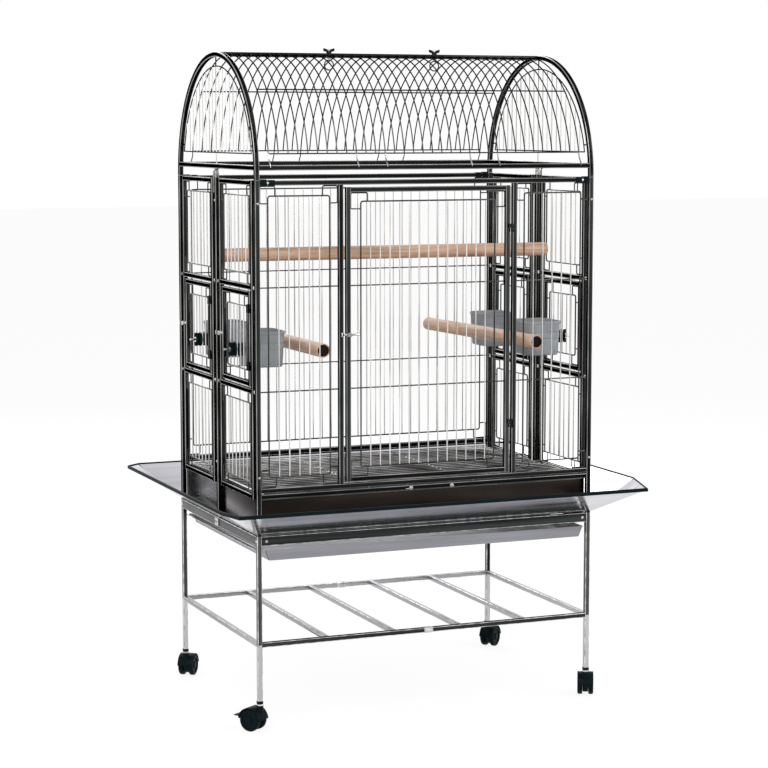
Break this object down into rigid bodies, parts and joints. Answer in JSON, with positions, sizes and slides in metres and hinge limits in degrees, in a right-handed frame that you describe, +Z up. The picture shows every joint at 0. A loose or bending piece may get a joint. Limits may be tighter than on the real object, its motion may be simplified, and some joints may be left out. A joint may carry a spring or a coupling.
{
  "type": "bird cage",
  "caption": "Dome-top wire bird cage on a wheeled stand, with front door, side feeder doors, pull-out grate and tray, seed guard, perches and shelf.",
  "frame": {"origin": "on the floor, under the middle of the overall plan", "axes": "+Z up, -Y towards the front door, +X to the right seen from the front"},
  "size_m": [1.0306, 0.8046, 1.4903],
  "materials": {
    "polished_steel": "polished dark steel tube",
    "wire_steel": "bright wire",
    "apron_steel": "polished dark sheet",
    "guard_steel": "polished sheet",
    "tray_steel": "satin grey sheet",
    "black_plastic": "black moulded plastic",
    "cup_plastic": "grey moulded plastic",
    "perch_wood": "plain turned wood"
  },
  "bodies": {
    "cage": {"stand_side_left": "polished_steel", "stand_side_right": "polished_steel", "stand_rail_front": "polished_steel", "stand_rail_back": "polished_steel", "storage_shelf": "polished_steel", "base_apron": "apron_steel", "seed_guard_front": "guard_steel", "seed_guard_back": "guard_steel", "seed_guard_left": "guard_steel", "seed_guard_right": "guard_steel", "seed_guard_edging": "black_plastic", "front_panel": "polished_steel", "back_panel": "polished_steel", "centre_post_left": "polished_steel", "centre_post_right": "polished_steel", "half_frame_front_left": "polished_steel", "half_frame_front_right": "polished_steel", "half_frame_back_left": "polished_steel", "half_frame_back_right": "polished_steel", "dome_end_left": "polished_steel", "dome_end_right": "polished_steel", "dome_screen": "wire_steel", "toy_hook_left": "polished_steel", "toy_hook_right": "polished_steel", "perch_long": "perch_wood", "perch_left": "perch_wood", "perch_right": "perch_wood"},
    "caster_front_left": {"caster_fork_front_left": "black_plastic"},
    "wheels_front_left": {"caster_wheels_front_left": "black_plastic"},
    "caster_front_right": {"caster_fork_front_right": "black_plastic"},
    "wheels_front_right": {"caster_wheels_front_right": "black_plastic"},
    "caster_back_left": {"caster_fork_back_left": "black_plastic"},
    "wheels_back_left": {"caster_wheels_back_left": "black_plastic"},
    "caster_back_right": {"caster_fork_back_right": "black_plastic"},
    "wheels_back_right": {"caster_wheels_back_right": "black_plastic"},
    "brake": {"caster_brake_front_left": "black_plastic"},
    "tray": {"tray": "tray_steel"},
    "grate": {"grate": "wire_steel"},
    "door": {"door": "polished_steel"},
    "door_latch": {"door_latch_bolt": "polished_steel"},
    "feeder_front_left": {"feeder_door_front_left": "polished_steel", "cup_clamp_front_left": "black_plastic"},
    "latch_front_left": {"feeder_latch_front_left": "polished_steel"},
    "cup_front_left": {"feeder_cup_front_left": "cup_plastic"},
    "feeder_front_right": {"feeder_door_front_right": "polished_steel", "cup_clamp_front_right": "black_plastic"},
    "latch_front_right": {"feeder_latch_front_right": "polished_steel"},
    "cup_front_right": {"feeder_cup_front_right": "cup_plastic"},
    "feeder_back_left": {"feeder_door_back_left": "polished_steel", "cup_clamp_back_left": "black_plastic"},
    "latch_back_left": {"feeder_latch_back_left": "polished_steel"},
    "cup_back_left": {"feeder_cup_back_left": "cup_plastic"},
    "feeder_back_right": {"feeder_door_back_right": "polished_steel", "cup_clamp_back_right": "black_plastic"},
    "latch_back_right": {"feeder_latch_back_right": "polished_steel"},
    "cup_back_right": {"feeder_cup_back_right": "cup_plastic"},
    "nut_left": {"wing_nut_left": "polished_steel"},
    "nut_right": {"wing_nut_right": "polished_steel"}
  },
  "joints": [
    {"name": "caster_front_left_swivel", "type": "hinge", "parent": "cage", "child": "caster_front_left", "pos_m": [-0.4, -0.239, 0.0617], "axis": [0, 0, 1], "continuous": true},
    {"name": "wheels_front_left_roll", "type": "hinge", "parent": "caster_front_left", "child": "wheels_front_left", "pos_m": [-0.41032, -0.22426, 0.0245], "axis": [-0.8192, -0.5736, 0], "continuous": true},
    {"name": "caster_front_right_swivel", "type": "hinge", "parent": "cage", "child": "caster_front_right", "pos_m": [0.4, -0.239, 0.0617], "axis": [0, 0, 1], "continuous": true},
    {"name": "wheels_front_right_roll", "type": "hinge", "parent": "caster_front_right", "child": "wheels_front_right", "pos_m": [0.40817, -0.22296, 0.0245], "axis": [-0.891, 0.454, 0], "continuous": true},
    {"name": "caster_back_left_swivel", "type": "hinge", "parent": "cage", "child": "caster_back_left", "pos_m": [-0.4, 0.295, 0.0617], "axis": [0, 0, 1], "continuous": true},
    {"name": "wheels_back_left_roll", "type": "hinge", "parent": "caster_back_left", "child": "wheels_back_left", "pos_m": [-0.38942, 0.30956, 0.0245], "axis": [-0.809, 0.5878, 0], "continuous": true},
    {"name": "caster_back_right_swivel", "type": "hinge", "parent": "cage", "child": "caster_back_right", "pos_m": [0.4, 0.295, 0.0617], "axis": [0, 0, 1], "continuous": true},
    {"name": "wheels_back_right_roll", "type": "hinge", "parent": "caster_back_right", "child": "wheels_back_right", "pos_m": [0.41358, 0.30681, 0.0245], "axis": [-0.6561, 0.7547, 0], "continuous": true},
    {"name": "caster_front_left_brake", "type": "hinge", "parent": "caster_front_left", "child": "brake", "pos_m": [-0.42839, -0.19845, 0.0305], "axis": [0.8192, 0.5736, 0], "range_deg": [0, 25]},
    {"name": "tray_slide", "type": "slide", "parent": "cage", "child": "tray", "axis": [0, -1, 0], "range_m": [0, 0.5]},
    {"name": "grate_slide", "type": "slide", "parent": "cage", "child": "grate", "axis": [0, -1, 0], "range_m": [0, 0.5]},
    {"name": "door_hinge", "type": "hinge", "parent": "cage", "child": "door", "pos_m": [0.2, -0.2485, 0.5395], "axis": [0, 0, 1], "range_deg": [0, 160]},
    {"name": "door_latch_slide", "type": "slide", "parent": "door", "child": "door_latch", "axis": [-1, 0, 0], "range_m": [0, 0.01]},
    {"name": "feeder_door_front_left_hinge", "type": "hinge", "parent": "cage", "child": "feeder_front_left", "pos_m": [-0.4095, -0.2045, 0.7545], "axis": [0, 0, 1], "range_deg": [0, 100]},
    {"name": "feeder_latch_front_left_slide", "type": "slide", "parent": "feeder_front_left", "child": "latch_front_left", "axis": [0, 1, 0], "range_m": [0, 0.009]},
    {"name": "feeder_cup_front_left_lift", "type": "slide", "parent": "feeder_front_left", "child": "cup_front_left", "axis": [0, 0, 1], "range_m": [0, 0.08]},
    {"name": "feeder_door_front_right_hinge", "type": "hinge", "parent": "cage", "child": "feeder_front_right", "pos_m": [0.4095, -0.2045, 0.7545], "axis": [0, 0, -1], "range_deg": [0, 100]},
    {"name": "feeder_latch_front_right_slide", "type": "slide", "parent": "feeder_front_right", "child": "latch_front_right", "axis": [0, 1, 0], "range_m": [0, 0.009]},
    {"name": "feeder_cup_front_right_lift", "type": "slide", "parent": "feeder_front_right", "child": "cup_front_right", "axis": [0, 0, 1], "range_m": [0, 0.08]},
    {"name": "feeder_door_back_left_hinge", "type": "hinge", "parent": "cage", "child": "feeder_back_left", "pos_m": [-0.4095, 0.0625, 0.7545], "axis": [0, 0, 1], "range_deg": [0, 100]},
    {"name": "feeder_latch_back_left_slide", "type": "slide", "parent": "feeder_back_left", "child": "latch_back_left", "axis": [0, 1, 0], "range_m": [0, 0.009]},
    {"name": "feeder_cup_back_left_lift", "type": "slide", "parent": "feeder_back_left", "child": "cup_back_left", "axis": [0, 0, 1], "range_m": [0, 0.08]},
    {"name": "feeder_door_back_right_hinge", "type": "hinge", "parent": "cage", "child": "feeder_back_right", "pos_m": [0.4095, 0.0625, 0.7545], "axis": [0, 0, -1], "range_deg": [0, 100]},
    {"name": "feeder_latch_back_right_slide", "type": "slide", "parent": "feeder_back_right", "child": "latch_back_right", "axis": [0, 1, 0], "range_m": [0, 0.009]},
    {"name": "feeder_cup_back_right_lift", "type": "slide", "parent": "feeder_back_right", "child": "cup_back_right", "axis": [0, 0, 1], "range_m": [0, 0.08]},
    {"name": "wing_nut_left_turn", "type": "hinge", "parent": "cage", "child": "nut_left", "pos_m": [-0.1305, 0.028, 1.4783], "axis": [0, 0, 1], "continuous": true},
    {"name": "wing_nut_right_turn", "type": "hinge", "parent": "cage", "child": "nut_right", "pos_m": [0.1305, 0.028, 1.4783], "axis": [0, 0, 1], "continuous": true}
  ]
}
